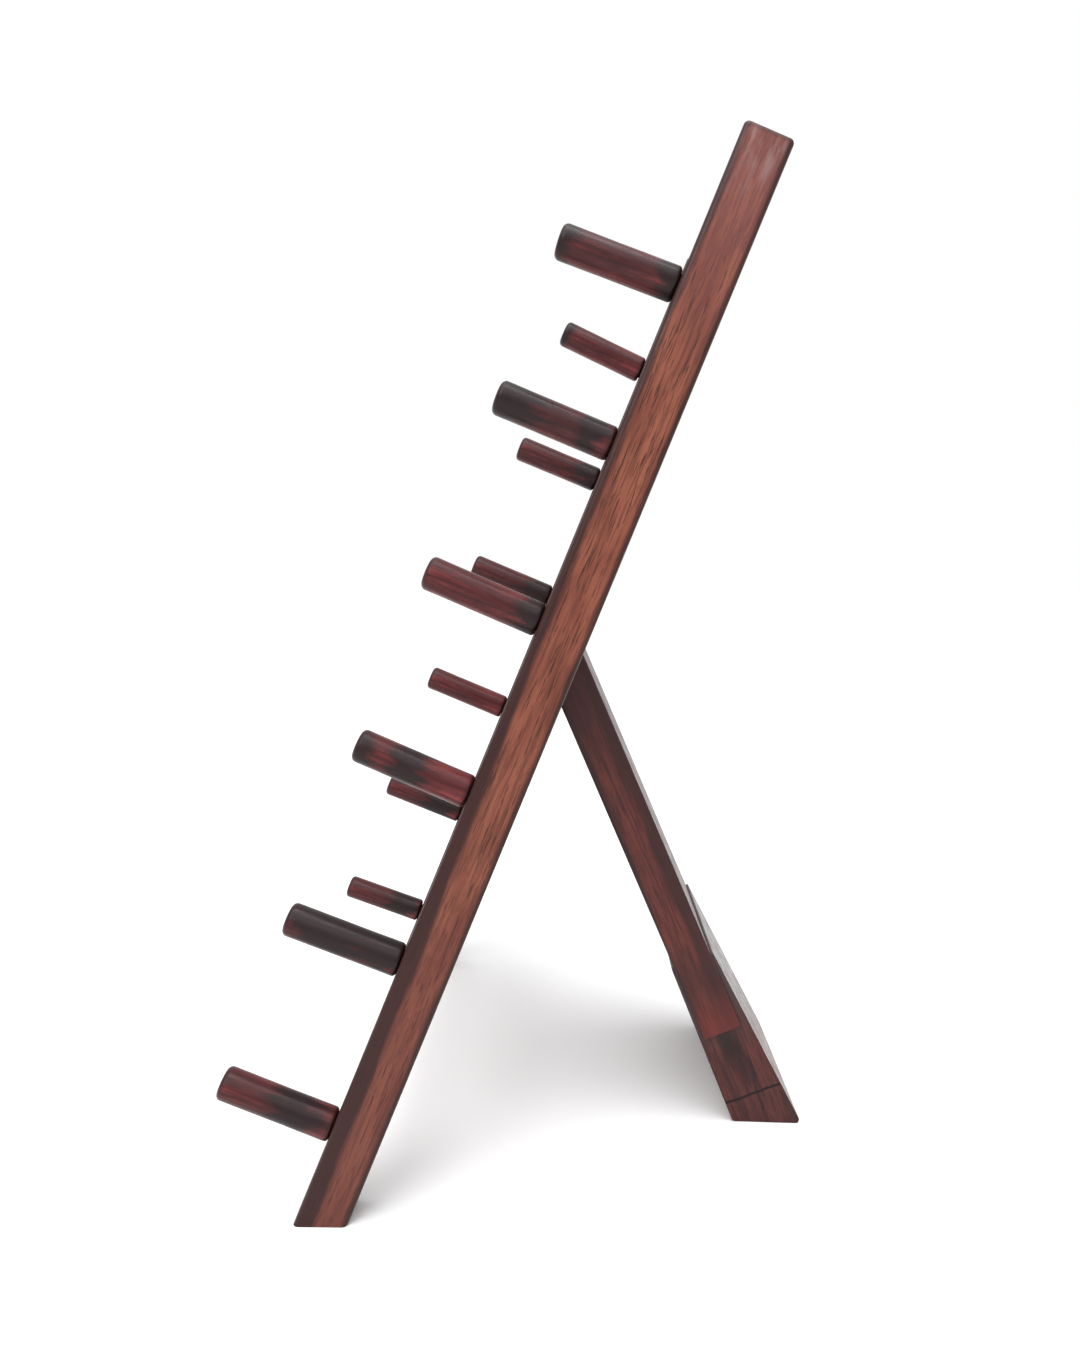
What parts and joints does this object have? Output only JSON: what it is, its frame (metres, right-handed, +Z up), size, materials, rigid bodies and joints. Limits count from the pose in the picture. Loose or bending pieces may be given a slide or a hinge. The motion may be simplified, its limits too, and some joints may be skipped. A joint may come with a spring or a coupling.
{
  "type": "mug tree",
  "caption": "Leaning wooden mug tree: splayed posts joined by rails, turned pegs on the front, and a wide rear leg with a flared foot that folds on hinges.",
  "frame": {"origin": "centre of the bounding box on the floor plane", "axes": "+X to the rear (rear leg side), +Y across from the left post to the right post, +Z up; the rack is nearly mirror symmetric about the XZ plane"},
  "size_m": [0.363, 0.3658, 0.6132],
  "materials": {
    "post_wood": "satin lacquered dark red hardwood",
    "peg_wood": "satin lacquered dark red hardwood with black figure",
    "rail_wood": "satin lacquered dark red hardwood",
    "leg_wood": "satin lacquered dark red hardwood with dark stripes",
    "foot_wood": "satin lacquered dark hardwood with black streaks",
    "dowel_wood": "dark hardwood dowel",
    "hinge_brass": "aged satin brass",
    "screw_steel": "plated steel"
  },
  "bodies": {
    "frame": {"bottom_rail": "rail_wood", "frame_leaf_screws": "screw_steel", "left_hinge_frame_leaf": "hinge_brass", "left_hinge_pin": "hinge_brass", "left_peg_1": "peg_wood", "left_peg_2": "peg_wood", "left_peg_3": "peg_wood", "left_peg_4": "peg_wood", "left_peg_5": "peg_wood", "left_peg_6": "peg_wood", "left_post": "post_wood", "middle_rail": "rail_wood", "right_hinge_frame_leaf": "hinge_brass", "right_hinge_pin": "hinge_brass", "right_peg_1": "peg_wood", "right_peg_2": "peg_wood", "right_peg_3": "peg_wood", "right_peg_4": "peg_wood", "right_peg_5": "peg_wood", "right_peg_6": "peg_wood", "right_post": "post_wood", "top_rail": "rail_wood"},
    "rear_leg": {"foot_block": "foot_wood", "foot_dowels": "dowel_wood", "foot_sole": "foot_wood", "left_hinge_leg_leaf": "hinge_brass", "leg_leaf_screws": "screw_steel", "rear_leg": "leg_wood", "right_hinge_leg_leaf": "hinge_brass", "sole_dowels": "dowel_wood"}
  },
  "joints": [
    {"name": "rear_leg_fold", "type": "hinge", "parent": "frame", "child": "rear_leg", "pos_m": [0.00874, 0, 0.2938], "axis": [0, 1, 0], "range_deg": [0, 44]}
  ]
}
